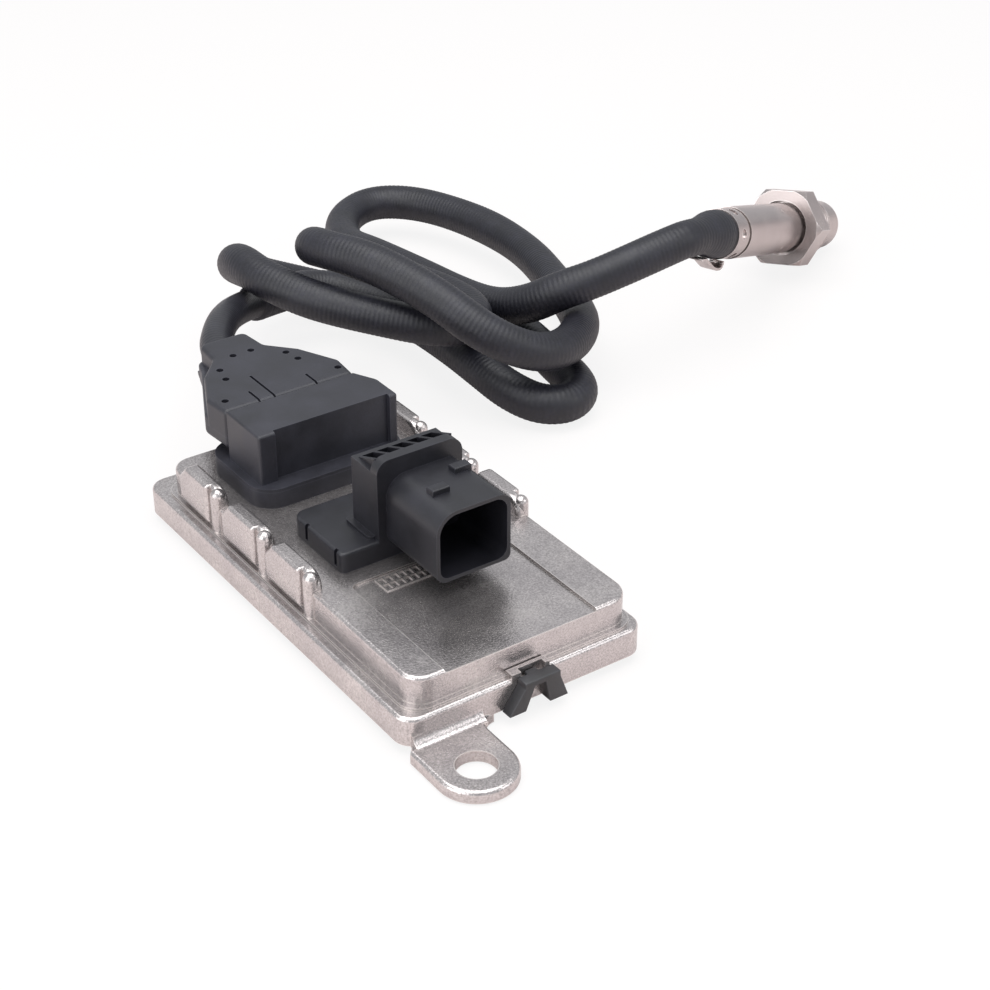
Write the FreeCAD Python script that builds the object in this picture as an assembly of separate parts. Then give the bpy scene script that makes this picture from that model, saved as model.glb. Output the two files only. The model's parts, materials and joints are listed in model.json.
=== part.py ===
import FreeCAD, Part
import math
import os

# Nitrogen oxide sensor: control unit with two connectors, sheathed cable and exhaust probe
# Millimetres, Z up, the control unit stands on z = 0 with its long side along Y

V = FreeCAD.Vector
X_AXIS = V(1, 0, 0)
Y_AXIS = V(0, 1, 0)
Z_AXIS = V(0, 0, 1)
os.makedirs("parts", exist_ok=True)

# How far joined shapes run into each other
overlap = 0.5

# Housing casting
flange_left = -30.0
flange_right = 32.5
flange_half_y = 58.5
flange_bottom = 2.0
flange_top = 8.8
flange_corner = 4.5
tier_left = -26.3
tier_right = 31.0
tier_front_inset = 2.7
tier_back_inset = 5.9
tier_front = -flange_half_y + tier_front_inset
tier_back = flange_half_y - tier_back_inset
tier_corner = 5.0
tier_right_corner = tier_corner + 1.0
tier_edge_round = 0.9
flange_edge_round = 1.0
tier_middle = (tier_left + tier_right) / 2
deck_level = 16.0
step_margin = 1.3
step_right_margin = 0.4
step_height = 0.6
cavity_middle = 1.8
cavity_half_x = 23.8
cavity_end_wall = 12.5
cavity_half_y = flange_half_y - cavity_end_wall
cavity_corner = 3.0
cavity_roof = 13.6

# Mounting lugs at two opposite corners
lug_thickness = 2.8
lug_half_width = 9.0
lug_hole_radius = 4.5
lug_hole_x = -21.0
lug_root = 2.0
lug_edge_radius = 1.0
lug_fillet = 2.2
lug_reach = 12.5
lug_hole_y = -flange_half_y - lug_reach
lug_chamfer = 3.6
lug_flare = 4.0

# Side blocks that stand above the deck: a ridge, a pad and a post at the near end
block_top = 20.3
block_depth = 2.8
block_slope = 3.6
block_spans = [(26.5, 45.0), (4.4, 24.0), (-16.0, 3.7)]
pad_proud = 1.2
pad_offset = 4.4
pad_base = flange_top + 1.5
post_round = 1.8
ridge_end_radius = 4.0
ridge_base_round = 0.4
ridge_far_round = 1.6
ridge_edge_round = 1.0
ridge_toe = 0.6
pad_end_round = 0.5

# Shallow field on the deck in front of the plug header
field_left = -18.2
field_right = 20.8
field_back = -18.0
field_corner = 2.0
field_depth = 0.6

# Casting date grid, a raised frame round two rows of small cells
grid_left = -12.2
grid_front = -24.0
grid_rows = 2
grid_sink = 0.2
grid_cell = 1.3
grid_cell_depth = 2.0
grid_line = 0.45
grid_height = 0.3
grid_count = 7

# Edge clip on the near short side and the slotted boss behind it
clip_outline = [(-6.2, 1.8), (-0.2, 1.8), (0.6, 6.4), (3.2, 6.4), (3.6, 2.0), (9.4, 2.0),
                (9.6, 2.8), (7.2, 8.9), (-1.8, 8.9)]
clip_thickness = 3.0
clip_edge = 0.3
boss_left = -3.4
boss_right = 6.4
boss_depth = 2.4
boss_rise = 1.2
boss_slot_inset = 2.4
boss_slot_width = 1.5
boss_slot_depth = 2.4

# Base cover and its sealing bead
cover_lap = 3.6
cover_half_x = cavity_half_x + cover_lap
cover_half_y = cavity_half_y + cover_lap
cover_thickness = 2.0
cover_corner = 4.0
pad_inset = 7.0
pad_depth = 0.4
bead_width = 1.4
bead_depth = 1.2
bead_offset = 1.1

# Circuit board and its screws
board_clearance = 1.0
board_half_x = cavity_half_x - board_clearance
board_half_y = cavity_half_y - board_clearance
board_corner = 1.5
board_bottom = 8.0
board_thickness = 1.6
board_top = board_bottom + board_thickness
post_side_inset = 4.0
post_end_inset = 4.6
post_x = cavity_half_x - post_side_inset
post_y = cavity_half_y - post_end_inset
post_radius = 3.0
screw_radius = 1.25
screw_head_radius = 2.6
screw_head_height = 1.6
screw_length = 4.6
screw_recess_radius = 1.0
screw_recess_depth = 0.8

# Plug header on the deck
header_left = -17.2
header_right = 20.6
header_front = -13.3
header_back = 8.6
header_foot_top = 21.0
header_foot_corner = 3.2
header_front_corner = 1.4
header_edge_round = 0.7
rim_left_corner = 3.2
rim_right_corner = 3.6
ledge_corner = 1.5
header_wall = 2.0
header_back_wall = 1.5
tower_left = -7.5
tower_right = 14.9
tower_back = -2.6
pocket_count = 5
pocket_wall = 2.0
pocket_rib = 0.9
pocket_depth = 6.0
pocket_back_wall = 1.2
rib_rise = 2.7
ledge_margin = 1.6
ledge_height = 0.8
foot_notches = [(2.0, 0.8), (-10.6, 0.8)]
foot_notch_width = 1.1
tower_top = 37.9
rim_top = 41.0
rim_thickness = 2.6
shroud_left = -5.3
shroud_right = 14.0
shroud_bottom = 19.5
shroud_top = 36.7
shroud_front = -33.3
shroud_wall = 0.9
shroud_floor = -15.2
shroud_corners = (2.6, 1.6, 3.2, 5.4)
mouth_corners = (2.4, 2.6, 3.2, 4.6)
key_width = 4.4
key_height = 1.4
key_length = 2.6
key_places = [(-1.2, -25.9), (8.0, -20.6)]

# Contact blades of the plug header
blade_count = 5
blade_pitch = 3.2
blade_width = 1.6
blade_thickness = 0.8
blade_level = 28.1
blade_tip = -22.0
blade_foot_y = -8.0

# Sensor-side connector
socket_left = -19.3
socket_right = 21.5
socket_front = 18.8
socket_back = 46.0
socket_top = 20.2
socket_corner = 6.5
socket_wall = 3.2
socket_back_wall = 10.4
socket_well_floor = deck_level + 2.2
socket_well_corner = 1.5
socket_shoulder = 5.0
socket_front_shoulder = 4.0
socket_back_shoulder = 12.0
connector_flange = 0.9
plug_left = -17.2
plug_right = 20.4
plug_front = 22.3
plug_back = 37.6
plug_right_back = 31.4
plug_top = 34.0
plug_corner = 0.7
plug_back_corner = 3.0
plug_edge_round = 0.7
plug_wall = 2.2
plug_roof = 1.8
lead_slot_width = 1.6
lead_slot_depth = 1.8
nose_clearance = 0.4
plug_panel_depth = 1.2
plug_panel_left = 4.4
plug_panel_right = 2.2
contact_count = 5
contact_pitch = 4.6
contact_middle = (plug_left + plug_right) / 2
contact_radius = 0.7
contact_y = 28.0
contact_bottom = 8.0
contact_top = 25.0
contact_sleeve_radius = 1.5
contact_sleeve_bottom = deck_level + 4.6
contact_sleeve_top = contact_top + 2.0

# Cable cover behind the connector, two half shells
shell_bottom = 23.4
shell_top = 34.0
shell_split = 26.75
shell_wall = 1.8
shell_end = 72.0
shell_outline = [(17.4, 37.6), (18.2, 45.6), (13.2, 56.4), (7.2, 63.2), (6.4, 70.0)]
shell_foot = [(17.4, 37.6), (18.2, 47.2), (13.6, 56.8), (8.6, 67.2), (7.0, 70.0)]
shell_foot_top = 29.4
shell_nose_radius = 7.2
shell_nose_start = 60.0
shell_end_radius = 2.0
shell_side_radius = 2.5
shell_front_radius = 1.0
shell_top_round = 1.2
shell_bottom_round = 1.6
shell_foot_round = 0.9
latch_groove = 0.6
latch_depth = 0.8
latch_lines = [(-8.4, 43.2), (-4.3, 49.9), (7.2, 43.2)]
grommet_length = 10.0
grommet_front = shell_end - grommet_length
grommet_radius = 5.6
grommet_recess = 0.5
dimple_radius = 0.9
dimple_depth = 1.0
dimple_places = [(2.7, 61.8), (-2.3, 61.7), (9.3, 55.9), (10.1, 51.4), (-8.6, 56.7),
                 (-9.6, 51.8), (15.7, 41.8), (-15.0, 42.2)]

# Parts on the circuit board
processor_size = 14.0
processor_height = 1.6
processor_y = 18.0
driver_size = 6.0
driver_height = 1.5
driver_places = [(-9.0, -24.0), (0.0, -24.0), (9.0, -24.0)]
capacitor_radius = 3.1
capacitor_height = 3.4
capacitor_places = [(-10.0, -36.0), (-2.0, -36.0), (6.0, -36.0)]

# Cable: bare jacket at the cover, then the corrugated protective hose
jacket_radius = 4.2
hose_radius = 5.4
jacket_runs = 5
bend_share = 0.45
hose_straight_end = 16.0

# Probe, its axis dips from the hose end to the tip, which touches the ground
hose_end = V(145.4, 53.3, 32.0)
probe_heading = 23.8
probe_dip = 18.5
boot_length = 12.0
boot_lip = 0.15
boot_land = 3.0
boot_radius = 6.8
band_length = 7.4
band_radius = 7.1
band_dimple_radius = 1.5
band_dimple_depth = 0.6
band_dimple_count = 6
band_dimple_turn = 20
sleeve_start = 8.2
sleeve_radius = 7.4
sleeve_bore = 6.5
collar_start = 66.4
collar_radius = 8.4
collar_length = 1.8
collar_bore = 5.0
tip_radius = 7.4
tip_wall = 0.6
tip_length = 12.2
tip_round = 2.6
tip_vent_radius = 1.4
nut_start = 48.6
nut_across_flats = 22.0
nut_hex_length = 8.4
nut_chamfer_inset = 1.2
nut_chamfer_reach = 3.0
nut_chamfer_length = 7.1
nut_relief_radius = 8.1
nut_relief_depth = 4.0
nut_clearance = 0.05
nut_turn = 52.2
nut_gap = 0.1
thread_radius = 9.0
plug_length = 14.0
element_width = 4.4
element_thickness = 1.4
element_start = 12.0
element_end = 75.0
bushing_start = 52.0
bushing_end = 65.0
strap_outline = [(9.7, -6.9), (9.7, -11.4), (-12.0, -7.3), (-12.0, -5.5), (8.5, -9.2), (8.5, -6.9)]
strap_width = 5.0

# Places along the cable, chosen by hand from the connector to the probe
cable_route = [
    (0.0, 62.0, 26.75),
    (0.0, 77.0, 26.75),
    (7.5, 88.5, 27.4),
    (15.5, 98.5, 25.2),
    (25.5, 108.5, 21.0),
    (37.0, 117.0, 17.0),
    (47.5, 120.2, 15.5),
    (57.0, 119.0, 14.0),
    (63.8, 111.0, 12.3),
    (68.0, 99.5, 11.5),
    (69.0, 86.0, 11.5),
    (69.0, 72.0, 11.5),
    (69.0, 57.6, 10.4),
    (70.4, 46.8, 8.3),
    (74.4, 38.9, 6.5),
    (81.2, 36.0, 5.8),
    (87.4, 38.5, 5.7),
    (91.2, 45.2, 5.6),
    (92.4, 57.0, 6.3),
    (93.2, 69.0, 8.4),
    (92.0, 81.0, 10.0),
    (91.0, 93.0, 8.3),
    (87.0, 105.0, 6.3),
    (78.0, 116.0, 5.6),
    (66.0, 125.7, 7.2),
    (53.5, 132.2, 11.5),
    (42.0, 131.8, 17.3),
    (32.4, 126.0, 25.0),
    (28.2, 114.6, 31.2),
    (28.2, 102.0, 31.2),
    (33.5, 90.0, 29.0),
    (39.5, 81.5, 27.5),
    (47.0, 73.0, 26.0),
    (55.5, 65.5, 24.2),
    (63.5, 61.5, 23.0),
    (70.5, 63.5, 22.3),
    (74.3, 70.0, 22.0),
    (73.8, 79.0, 22.1),
    (70.0, 88.5, 23.0),
    (64.5, 96.3, 25.5),
    (57.5, 101.5, 29.0),
    (48.4, 103.8, 34.2),
    (42.2, 99.6, 38.0),
    (41.8, 90.8, 40.2),
    (46.6, 80.2, 40.2),
    (51.3, 70.3, 38.0),
    (56.0, 58.0, 34.6),
    (60.5, 48.0, 29.4),
    (67.0, 41.5, 24.8),
    (76.0, 38.8, 21.0),
    (87.5, 43.0, 18.6),
    (99.5, 53.6, 16.5),
    (109.7, 71.0, 12.5),
    (118.0, 92.0, 10.2),
    (124.0, 113.0, 10.0),
    (124.5, 134.0, 10.3),
    (119.4, 153.4, 10.8),
    (112.4, 165.0, 10.9),
    (102.8, 170.0, 10.9),
    (92.2, 166.0, 10.4),
    (84.5, 156.0, 10.8),
    (78.4, 142.0, 13.0),
    (76.8, 124.0, 16.8),
    (78.8, 105.0, 17.9),
    (82.0, 87.5, 17.0),
    (85.0, 74.0, 17.8),
    (89.0, 64.0, 21.6),
    (94.5, 57.8, 26.6),
    (102.0, 53.2, 29.6),
    (112.0, 49.8, 33.0),
    (123.0, 47.8, 35.8),
]


def box(x_min, x_max, y_min, y_max, z_min, z_max):
    return Part.makeBox(x_max - x_min, y_max - y_min, z_max - z_min, V(x_min, y_min, z_min))


def cylinder(radius, length, base, axis=Z_AXIS):
    return Part.makeCylinder(radius, length, base, axis)


def tube(outer, inner, length, base, axis=Z_AXIS):
    return cylinder(outer, length, base, axis).cut(cylinder(inner, length, base, axis))


def corner_outline(corners, place):
    # corners: (u, v, radius) in turn, place maps u and v to a point
    edges = []
    points = []
    count = len(corners)
    for index, (u, v, radius) in enumerate(corners):
        here = V(u, v, 0)
        before = V(*corners[index - 1][:2], 0)
        after = V(*corners[(index + 1) % count][:2], 0)
        first = (before - here).normalize()
        second = (after - here).normalize()
        half = first.getAngle(second) / 2
        reach = radius / math.tan(half) if radius > 0 else 0
        inward = (first + second).normalize()
        middle = here + inward * (radius / math.sin(half) - radius)
        points.append((here + first * reach, middle, here + second * reach, radius))
    for index, (start, middle, end, radius) in enumerate(points):
        if radius > 0:
            edges.append(Part.Arc(place(start), place(middle), place(end)).toShape())
        following = points[(index + 1) % count][0]
        if (following - end).Length > 1e-6:
            edges.append(Part.LineSegment(place(end), place(following)).toShape())
    return Part.Face(Part.Wire(edges))


def slab(corners, z_min, z_max):
    face = corner_outline(corners, lambda p: V(p.x, p.y, z_min))
    return face.extrude(V(0, 0, z_max - z_min))


def rounded_slab(x_min, x_max, y_min, y_max, z_min, z_max, radius):
    return slab([(x_min, y_min, radius), (x_max, y_min, radius), (x_max, y_max, radius),
                 (x_min, y_max, radius)], z_min, z_max)


def centred_slab(half_x, half_y, z_min, z_max, radius):
    # a slab about the middle of the housing's cavity
    return rounded_slab(cavity_middle - half_x, cavity_middle + half_x, -half_y, half_y,
                        z_min, z_max, radius)


def join(shapes):
    result = shapes[0]
    if len(shapes) > 1:
        result = shapes[0].fuse(shapes[1:])
    return result.removeSplitter()


def mirrored(shape, middle):
    return shape.mirror(V(middle, 0, 0), X_AXIS)


def layer(z_min, z_max):
    # a flat layer wider than the whole unit, for trimming a shape between two levels
    reach = 2 * flange_half_y
    return box(-reach, reach, -reach, reach, z_min, z_max)


def top_edges(shape, level, smallest=0.0):
    found = []
    for edge in shape.Edges:
        flat = all(abs(vertex.Z - level) < 1e-4 for vertex in edge.Vertexes)
        if flat and abs(edge.BoundBox.ZMax - edge.BoundBox.ZMin) < 1e-4 and edge.Length > smallest:
            found.append(edge)
    return found


def save(name, shape):
    shape.exportStep(os.path.join("parts", name + ".step"))
    print(name, "volume", round(shape.Volume, 1), "valid", shape.isValid(), "solids", len(shape.Solids))


def board_screw_places():
    return [(cavity_middle + x, y) for x in (-post_x, post_x) for y in (-post_y, post_y)]


def make_near_lug():
    front = -flange_half_y
    inner = front + lug_root
    left = lug_hole_x - lug_half_width
    right = lug_hole_x + lug_half_width
    tongue = slab([(left, lug_hole_y, 0), (right, lug_hole_y, 0), (right, inner, 0),
                   (left + lug_chamfer, inner, 0), (left, inner - lug_chamfer, 0)], 0, lug_thickness)
    end = cylinder(lug_half_width, lug_thickness, V(lug_hole_x, lug_hole_y, 0))
    flare = box(right - 1, right + lug_flare, front - lug_flare, inner, 0, lug_thickness)
    flare = flare.cut(cylinder(lug_flare, lug_thickness, V(right + lug_flare, front - lug_flare, 0)))
    lug = tongue.fuse([end, flare]).removeSplitter()
    rim = [edge for edge in top_edges(lug, lug_thickness) if edge.BoundBox.YMin < inner - lug_chamfer - 0.5]
    lug = lug.makeFillet(lug_edge_radius, rim)
    corner = box(left + lug_chamfer / 2, right + lug_edge_radius, front - lug_fillet, front + 1,
                 lug_thickness - lug_edge_radius, lug_thickness + lug_fillet)
    hollow_start = V(left, front - lug_fillet, lug_thickness + lug_fillet)
    hollow = cylinder(lug_fillet, 2 * lug_half_width + lug_flare, hollow_start, X_AXIS)
    return lug.fuse(corner.cut(hollow))


def make_far_lug():
    lug = make_near_lug()
    lug.rotate(V(0, 0, 0), Z_AXIS, 180)
    return lug


def block_wall(near, far, x_outer, near_radius):
    # the wall between two places along the side, its far end slopes down to the deck
    corners = [(near, pad_base, ridge_base_round), (far, pad_base, ridge_base_round),
               (far, deck_level + ridge_toe, ridge_edge_round),
               (far - block_slope, block_top, ridge_far_round), (near, block_top, near_radius)]
    face = corner_outline(corners, lambda p: V(x_outer, p.x, p.y))
    wall = face.extrude(V(tier_left + block_depth - x_outer, 0, 0))
    return wall.makeFillet(ridge_edge_round, top_edges(wall, block_top, block_depth + 2 * pad_proud))


def make_block(start, finish):
    core = block_wall(start, finish, tier_left, ridge_end_radius)
    pad = block_wall(start + pad_offset, finish, tier_left - pad_proud, pad_end_round)
    post_x_middle = tier_left - pad_proud + post_round
    post = cylinder(post_round, block_top - post_round - flange_top + overlap,
                    V(post_x_middle, start + post_round, flange_top - overlap))
    dome = Part.makeSphere(post_round, V(post_x_middle, start + post_round, block_top - post_round))
    return join([core, pad, post, dome])


def make_blocks():
    blocks = []
    for start, finish in block_spans:
        block = make_block(start, finish)
        blocks.append(block)
        blocks.append(mirrored(block, tier_middle))
    return blocks


def make_grid():
    pitch = grid_cell + grid_line
    row_pitch = grid_cell_depth + grid_line
    frame = box(grid_left, grid_left + grid_count * pitch + grid_line,
                grid_front, grid_front + grid_rows * row_pitch + grid_line,
                deck_level - field_depth - grid_sink, deck_level - field_depth + grid_height)
    cells = []
    for row in range(grid_rows):
        for column in range(grid_count):
            x = grid_left + grid_line + column * pitch
            y = grid_front + grid_line + row * row_pitch
            cells.append(box(x, x + grid_cell, y, y + grid_cell_depth, deck_level - 2, deck_level))
    return frame.cut(cells)


def header_opening():
    return box(shroud_left + header_wall, shroud_right - header_wall,
               header_front + header_wall, tower_back - header_back_wall,
               cavity_roof - 1, deck_level + 1)


def socket_opening():
    return box(socket_left + socket_shoulder, socket_right - socket_shoulder,
               socket_front + socket_front_shoulder, socket_back - socket_back_shoulder,
               cavity_roof - 1, deck_level + 1)


def bead_ring(z_min, z_max):
    inner_x = cavity_half_x + bead_offset
    inner_y = cavity_half_y + bead_offset
    inner = centred_slab(inner_x, inner_y, z_min, z_max, cavity_corner)
    outer = centred_slab(inner_x + bead_width, inner_y + bead_width, z_min, z_max,
                         cavity_corner + bead_width)
    return outer.cut(inner)


def make_boss():
    front = -flange_half_y
    top = flange_top + boss_rise
    boss = box(boss_left, boss_right, front, front + boss_depth, flange_bottom, top)
    slot = box(boss_left + boss_slot_inset, boss_right - boss_slot_inset / 2, front - 1,
               front + boss_slot_width, top - boss_slot_depth, top + 1)
    return boss, slot


def make_tier():
    corners = [(tier_left, tier_front, tier_corner), (tier_right, tier_front, tier_right_corner),
               (tier_right, tier_back, tier_corner), (tier_left, tier_back, tier_corner)]
    tier = slab(corners, flange_bottom + 1, deck_level)
    tier = tier.makeFillet(tier_edge_round, top_edges(tier, deck_level))
    step = rounded_slab(tier_left - step_margin, tier_right + step_right_margin,
                        tier_front - step_margin, tier_back + step_margin,
                        flange_bottom + 1, flange_top + step_height, tier_corner + step_right_margin)
    return tier, step


def make_housing():
    flange = rounded_slab(flange_left, flange_right, -flange_half_y, flange_half_y,
                          flange_bottom, flange_top, flange_corner)
    flange = flange.makeFillet(flange_edge_round, top_edges(flange, flange_top))
    boss, boss_slot = make_boss()
    tier, step = make_tier()
    body = flange.fuse([tier, step, boss, make_near_lug(), make_far_lug()] + make_blocks())
    cavity = centred_slab(cavity_half_x, cavity_half_y, flange_bottom - 3, cavity_roof, cavity_corner)
    field_front = tier_front - 5
    field = slab([(field_left, field_front, 0), (field_right, field_front, 0),
                  (field_right, field_back, field_corner), (field_left, field_back, field_corner)],
                 deck_level - field_depth, deck_level + 1)
    cuts = [cavity, field, boss_slot, header_opening(), socket_opening()]
    cuts.append(bead_ring(flange_bottom - 1, flange_bottom + bead_depth))
    for sign in (1, -1):
        cuts.append(cylinder(lug_hole_radius, flange_top, V(sign * lug_hole_x, sign * lug_hole_y, -1)))
    body = body.cut(cuts)
    posts = []
    for x, y in board_screw_places():
        posts.append(tube(post_radius, screw_radius, cavity_roof - board_top + overlap, V(x, y, board_top)))
    body = body.fuse(posts + [make_grid()])
    for x, y in board_screw_places():
        body = body.cut(cylinder(screw_radius, screw_length - board_thickness, V(x, y, board_top)))
    return body.removeSplitter()


def make_edge_clip():
    # a thick clip in the shape of two legs under a bridge
    corners = [(x, z, clip_edge) for x, z in clip_outline]
    face = corner_outline(corners, lambda p: V(p.x, -flange_half_y, p.y))
    return face.extrude(V(0, -clip_thickness, 0))


def make_base_cover():
    sheet = centred_slab(cover_half_x, cover_half_y, 0, cover_thickness, cover_corner)
    pad = centred_slab(cover_half_x - pad_inset, cover_half_y - pad_inset, -1, pad_depth, cover_corner)
    return sheet.cut(pad)


def make_board():
    board = centred_slab(board_half_x, board_half_y, board_bottom, board_top, board_corner)
    holes = [cylinder(screw_radius, board_thickness + 2, V(x, y, board_bottom - 1))
             for x, y in board_screw_places()]
    for blade_x in blade_places():
        holes.append(box(blade_x - blade_width / 2, blade_x + blade_width / 2,
                         blade_foot_y - blade_thickness, blade_foot_y, board_bottom - 1, board_top + 1))
    for contact_x in contact_places():
        holes.append(cylinder(contact_radius, board_thickness + 2, V(contact_x, contact_y, board_bottom - 1)))
    return board.cut(holes)


def make_board_screws():
    screws = []
    for x, y in board_screw_places():
        head = cylinder(screw_head_radius, screw_head_height, V(x, y, board_bottom - screw_head_height))
        recess = cylinder(screw_recess_radius, screw_recess_depth,
                          V(x, y, board_bottom - screw_head_height))
        shank = cylinder(screw_radius, screw_length, V(x, y, board_bottom))
        screws.append(head.cut(recess).fuse(shank).removeSplitter())
    return Part.makeCompound(screws)


def blade_places():
    centre = (shroud_left + shroud_right) / 2
    return [centre + (index - (blade_count - 1) / 2) * blade_pitch for index in range(blade_count)]


def make_blades():
    blades = []
    for x in blade_places():
        left = x - blade_width / 2
        right = x + blade_width / 2
        riser = box(left, right, blade_foot_y - blade_thickness, blade_foot_y,
                    board_bottom, blade_level + blade_thickness)
        arm = box(left, right, blade_tip, blade_foot_y, blade_level, blade_level + blade_thickness)
        blades.append(riser.fuse(arm).removeSplitter())
    return Part.makeCompound(blades)


def shroud_slab(inset, y_front, y_back, radii):
    x_left, x_right = shroud_left + inset, shroud_right - inset
    z_low, z_high = shroud_bottom + inset, shroud_top - inset
    corners = [(x_left, z_low, radii[0]), (x_right, z_low, radii[1]),
               (x_right, z_high, radii[2]), (x_left, z_high, radii[3])]
    face = corner_outline(corners, lambda p: V(p.x, y_front, p.y))
    return face.extrude(V(0, y_back - y_front, 0))


def make_foot():
    outline = [(header_left, header_front, header_front_corner),
               (header_right, header_front, header_foot_corner),
               (header_right, header_back, header_foot_corner),
               (header_left, header_back, header_foot_corner)]
    foot = slab(outline, deck_level, header_foot_top)
    foot = foot.makeFillet(header_edge_round, top_edges(foot, header_foot_top))
    ledge = rounded_slab(tower_left - ledge_margin, tower_right + ledge_margin, header_front + ledge_margin,
                         tower_back + ledge_margin, deck_level, header_foot_top + ledge_height,
                         ledge_corner)
    notches = []
    for y, depth in foot_notches:
        notches.append(box(header_left - 1, header_left + depth, y - foot_notch_width / 2,
                           y + foot_notch_width / 2, deck_level + 1, header_foot_top + 1))
    return foot.cut(notches).fuse(ledge)


def make_tower():
    # the tower has open pockets between ribs that slope down from the rim plate
    y_near = header_front + rim_thickness
    y_far = tower_back - pocket_back_wall
    tower = box(tower_left, tower_right, header_front, tower_back, deck_level, tower_top)
    rim_corners = [(tower_left, deck_level + 1, 0), (tower_right, deck_level + 1, 0),
                   (tower_right, rim_top, rim_right_corner), (tower_left, rim_top, rim_left_corner)]
    rim_face = corner_outline(rim_corners, lambda p: V(p.x, header_front, p.y))
    parts = [tower, rim_face.extrude(V(0, rim_thickness, 0))]
    room = tower_right - tower_left - 2 * pocket_wall - (pocket_count - 1) * pocket_rib
    width = room / pocket_count
    pockets = []
    for index in range(pocket_count + 1):
        x = tower_left + pocket_wall + index * (width + pocket_rib)
        wire = Part.makePolygon([V(x - pocket_rib, y_near, tower_top), V(x - pocket_rib, y_far, tower_top),
                                 V(x - pocket_rib, y_near, tower_top + rib_rise),
                                 V(x - pocket_rib, y_near, tower_top)])
        parts.append(Part.Face(wire).extrude(V(pocket_rib, 0, 0)))
        if index < pocket_count:
            pockets.append(box(x, x + width, y_near, y_far, tower_top - pocket_depth, tower_top + 1))
    return parts, pockets


def make_key(x, y):
    key = box(x, x + key_width, y, y + key_length, shroud_top - 1, shroud_top + key_height)
    return key.makeFillet(0.3, top_edges(key, shroud_top + key_height))


def make_header(blades):
    tower_parts, pockets = make_tower()
    shroud = shroud_slab(0, shroud_front, header_front + overlap, shroud_corners)
    spigot = header_opening().common(layer(cavity_roof, deck_level))
    keys = [make_key(x, y) for x, y in key_places]
    body = join([make_foot(), shroud, spigot] + tower_parts + keys)
    mouth = shroud_slab(shroud_wall, shroud_front - 1, shroud_floor, mouth_corners)
    return body.cut([mouth] + pockets + blades.Solids)


def contact_places():
    return [contact_middle + (index - (contact_count - 1) / 2) * contact_pitch
            for index in range(contact_count)]


def make_socket():
    collar = rounded_slab(socket_left, socket_right, socket_front, socket_back,
                          deck_level, socket_top, socket_corner)
    well = rounded_slab(socket_left + socket_wall, socket_right - socket_wall,
                        socket_front + socket_wall, socket_back - socket_back_wall,
                        socket_well_floor, socket_top + 1, socket_well_corner)
    spigot = socket_opening().common(layer(cavity_roof, deck_level))
    body = join([collar.cut(well), spigot])
    holes = [cylinder(contact_radius, socket_top - cavity_roof + 2, V(x, contact_y, cavity_roof - 1))
             for x in contact_places()]
    return body.cut(holes)


def make_contact_pins():
    pins = []
    for x in contact_places():
        pins.append(cylinder(contact_radius, contact_top - contact_bottom, V(x, contact_y, contact_bottom)))
    return Part.makeCompound(pins)


def make_plug():
    rim = rounded_slab(socket_left, socket_right, socket_front, socket_back,
                       socket_top, socket_top + connector_flange, socket_corner)
    shell_side = shell_outline[0][0]
    block = slab([(plug_left, plug_front, plug_corner), (plug_right, plug_front, plug_corner),
                  (plug_right, plug_right_back, plug_back_corner), (shell_side, plug_back, 0),
                  (plug_left, plug_back, 0)], socket_top, plug_top)
    block = block.makeFillet(plug_edge_round, top_edges(block, plug_top))
    side = socket_wall + nose_clearance
    nose = rounded_slab(socket_left + side, socket_right - side,
                        socket_front + side, socket_back - socket_back_wall - nose_clearance,
                        socket_well_floor + nose_clearance, socket_top + overlap,
                        socket_well_corner - nose_clearance)
    panel = box(plug_left + plug_panel_left, plug_right - plug_panel_right, plug_front - 1,
                plug_front + plug_panel_depth, socket_top + connector_flange, plug_top + 1)
    body = join([rim, block, nose]).cut(panel)
    seats = []
    for x in contact_places():
        seats.append(contact_sleeve(x))
        seats.append(cylinder(contact_radius, contact_sleeve_bottom - deck_level, V(x, contact_y, deck_level)))
    room_front = contact_y + contact_sleeve_radius + plug_wall
    room_floor = contact_sleeve_top - lead_slot_depth
    lead_room = box(plug_left + plug_wall, shell_side - plug_wall, room_front, plug_back + 1,
                    room_floor, plug_top - plug_roof)
    lead_slots = [box(x - lead_slot_width / 2, x + lead_slot_width / 2, contact_y, room_front + 1,
                      room_floor, contact_sleeve_top) for x in contact_places()]
    return body.cut(seats + [lead_room] + lead_slots)


def contact_sleeve(x):
    return cylinder(contact_sleeve_radius, contact_sleeve_top - contact_sleeve_bottom, V(x, contact_y, contact_sleeve_bottom))


def make_contact_sleeves():
    sleeves = []
    for x in contact_places():
        outer = contact_sleeve(x)
        bore = cylinder(contact_radius, contact_top - contact_sleeve_bottom, V(x, contact_y, contact_sleeve_bottom))
        sleeves.append(outer.cut(bore))
    return Part.makeCompound(sleeves)


def shell_slab(outline, inset, z_min, z_max, y_cut, front_radius):
    right = [(x - inset, y) for x, y in outline]
    corners = [(right[0][0], y_cut, front_radius)]
    corners += [(x, y, shell_side_radius) for x, y in right[1:-1]]
    corners.append((right[-1][0], shell_end - inset, shell_end_radius))
    corners += [(-x, y, radius) for x, y, radius in reversed(corners)]
    return slab(corners, z_min, z_max)


def cable_room():
    room = shell_slab(shell_outline, shell_wall, shell_bottom + shell_wall, shell_top - shell_wall,
                      plug_back - 1, 0)
    room = room.cut(box(-plug_right, plug_right, grommet_front, shell_end, shell_bottom, shell_top))
    bore = cylinder(grommet_radius, shell_end - grommet_front + 1,
                    V(0, grommet_front - overlap, shell_split), Y_AXIS)
    return room.fuse(bore)


def shell_nose():
    start = V(0, shell_nose_start, shell_split)
    return cylinder(shell_nose_radius, shell_end - shell_nose_start, start, Y_AXIS)


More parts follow.
